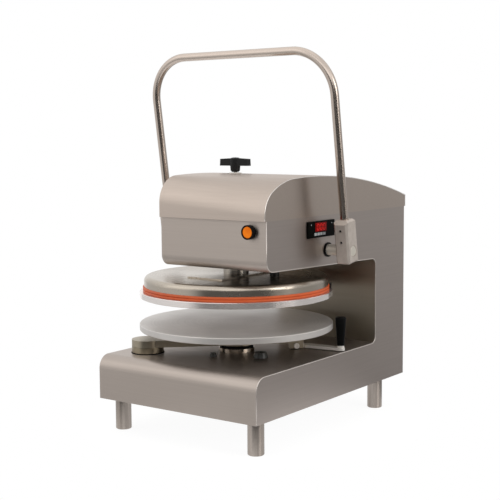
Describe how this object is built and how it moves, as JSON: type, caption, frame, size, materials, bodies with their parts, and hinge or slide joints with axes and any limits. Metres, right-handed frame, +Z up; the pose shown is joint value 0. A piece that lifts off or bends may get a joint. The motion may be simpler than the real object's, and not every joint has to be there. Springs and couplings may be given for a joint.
{
  "type": "pizza dough press",
  "caption": "Manual heated dough press: C-shaped stainless housing, swing-out lower platen and a rack-driven upper platen pulled down by a U-shaped lever.",
  "frame": {"origin": "on the floor under the middle of the press outline", "axes": "+Z up, -Y the front, +X the side with the controller"},
  "size_m": [0.545, 0.65, 0.8785],
  "materials": {
    "stainless_sheet": "brushed stainless sheet, warm grey",
    "stainless_hood": "brushed stainless sheet",
    "galvanised_sheet": "plain sheet",
    "stainless_leg": "turned stainless",
    "frame_steel": "primed steel plate",
    "bronze": "sintered bronze",
    "black_plastic": "satin black",
    "black_rubber": "matte black",
    "spring_steel": "oiled wire",
    "machined_steel": "machined steel",
    "red_window": "lit red window",
    "block_aluminium": "bead-blasted aluminium",
    "handle_tube": "polished stainless tube",
    "black_steel": "black oxide",
    "stainless_cover": "spun stainless",
    "orange_silicone": "silicone",
    "platen_aluminium": "turned aluminium",
    "heater_steel": "heat-tinted sheath",
    "amber_lens": "translucent amber, lit",
    "key_grey": "light grey keys"
  },
  "bodies": {
    "base": {"base_cover": "stainless_sheet", "base_side_left": "stainless_sheet", "side_panel_right": "stainless_sheet", "head_side_left": "stainless_sheet", "head_pan": "stainless_sheet", "column_front": "stainless_sheet", "rear_panel": "stainless_sheet", "bottom_plate": "galvanised_sheet", "hood": "stainless_hood", "leg_front_left": "stainless_leg", "leg_front_right": "stainless_leg", "leg_rear_left": "stainless_leg", "leg_rear_right": "stainless_leg", "frame_plate_left": "frame_steel", "frame_plate_right": "frame_steel", "ram_guide": "frame_steel", "shaft_bearing_left": "bronze", "shaft_bearing_right": "bronze", "panel_bush_left": "black_plastic", "panel_bush_right": "black_plastic", "return_spring": "spring_steel", "adjuster_bridge": "frame_steel", "support_pad": "black_rubber", "rest_bumper": "black_rubber", "pivot_post": "machined_steel", "cord_gland": "black_plastic", "controller_body": "black_plastic", "controller_bezel": "black_plastic", "display_window": "red_window", "power_barrel": "black_plastic"},
    "lever": {"press_shaft": "machined_steel", "pinion": "machined_steel", "lever_block_left": "block_aluminium", "lever_block_right": "block_aluminium", "handle": "handle_tube", "set_screws": "black_steel"},
    "ram_head": {"ram": "machined_steel", "rack": "machined_steel", "ram_cap": "machined_steel", "ram_plate": "stainless_cover", "conduit": "black_steel", "platen_cover": "stainless_cover", "platen_seal": "orange_silicone", "upper_platen": "platen_aluminium", "heater_ring": "heater_steel"},
    "swing_table": {"lower_platen": "platen_aluminium", "platen_hub": "machined_steel", "swing_arm": "machined_steel", "tail_bar": "machined_steel", "tail_bolt": "machined_steel", "grip": "black_plastic", "grip_ferrule": "machined_steel"},
    "adjuster": {"thickness_knob": "black_plastic", "adjuster_screw": "machined_steel"},
    "stop_nut": {"stop_nut": "bronze"},
    "power_cap": {"power_cap": "amber_lens"},
    "key_set": {"key_set": "key_grey"},
    "key_down": {"key_down": "key_grey"},
    "key_up": {"key_up": "key_grey"},
    "key_start": {"key_start": "key_grey"}
  },
  "joints": [
    {"name": "lever_pull", "type": "hinge", "parent": "base", "child": "lever", "pos_m": [0, -0.043, 0.425], "axis": [1, 0, 0], "range_deg": [0, 110.77], "stiffness_Nm_per_rad": 2.2, "springref_deg": -160.43},
    {"name": "ram_press", "type": "slide", "parent": "base", "child": "ram_head", "axis": [0, 0, -1], "range_m": [0, 0.058]},
    {"name": "platen_swing", "type": "hinge", "parent": "base", "child": "swing_table", "pos_m": [-0.177, -0.231, 0.193], "axis": [0, 0, 1], "range_deg": [-95, 0]},
    {"name": "knob_turn", "type": "hinge", "parent": "base", "child": "adjuster", "pos_m": [-0.02, -0.091, 0.6], "axis": [0, 0, 1], "range_deg": [-360, 360]},
    {"name": "nut_travel", "type": "slide", "parent": "base", "child": "stop_nut", "axis": [0, 0, 1], "range_m": [-0.003, 0.003]},
    {"name": "power_press", "type": "slide", "parent": "base", "child": "power_cap", "axis": [0, 1, 0], "range_m": [0, 0.003], "stiffness_N_per_m": 500},
    {"name": "key_set_press", "type": "slide", "parent": "base", "child": "key_set", "axis": [-1, 0, 0], "range_m": [0, 0.0006], "stiffness_N_per_m": 1500},
    {"name": "key_down_press", "type": "slide", "parent": "base", "child": "key_down", "axis": [-1, 0, 0], "range_m": [0, 0.0006], "stiffness_N_per_m": 1500},
    {"name": "key_up_press", "type": "slide", "parent": "base", "child": "key_up", "axis": [-1, 0, 0], "range_m": [0, 0.0006], "stiffness_N_per_m": 1500},
    {"name": "key_start_press", "type": "slide", "parent": "base", "child": "key_start", "axis": [-1, 0, 0], "range_m": [0, 0.0006], "stiffness_N_per_m": 1500}
  ],
  "couplings": [
    {"joint": "lever_pull", "follows": "ram_press", "rad_per_m": 33.333},
    {"joint": "knob_turn", "follows": "nut_travel", "rad_per_m": -2094.4}
  ]
}
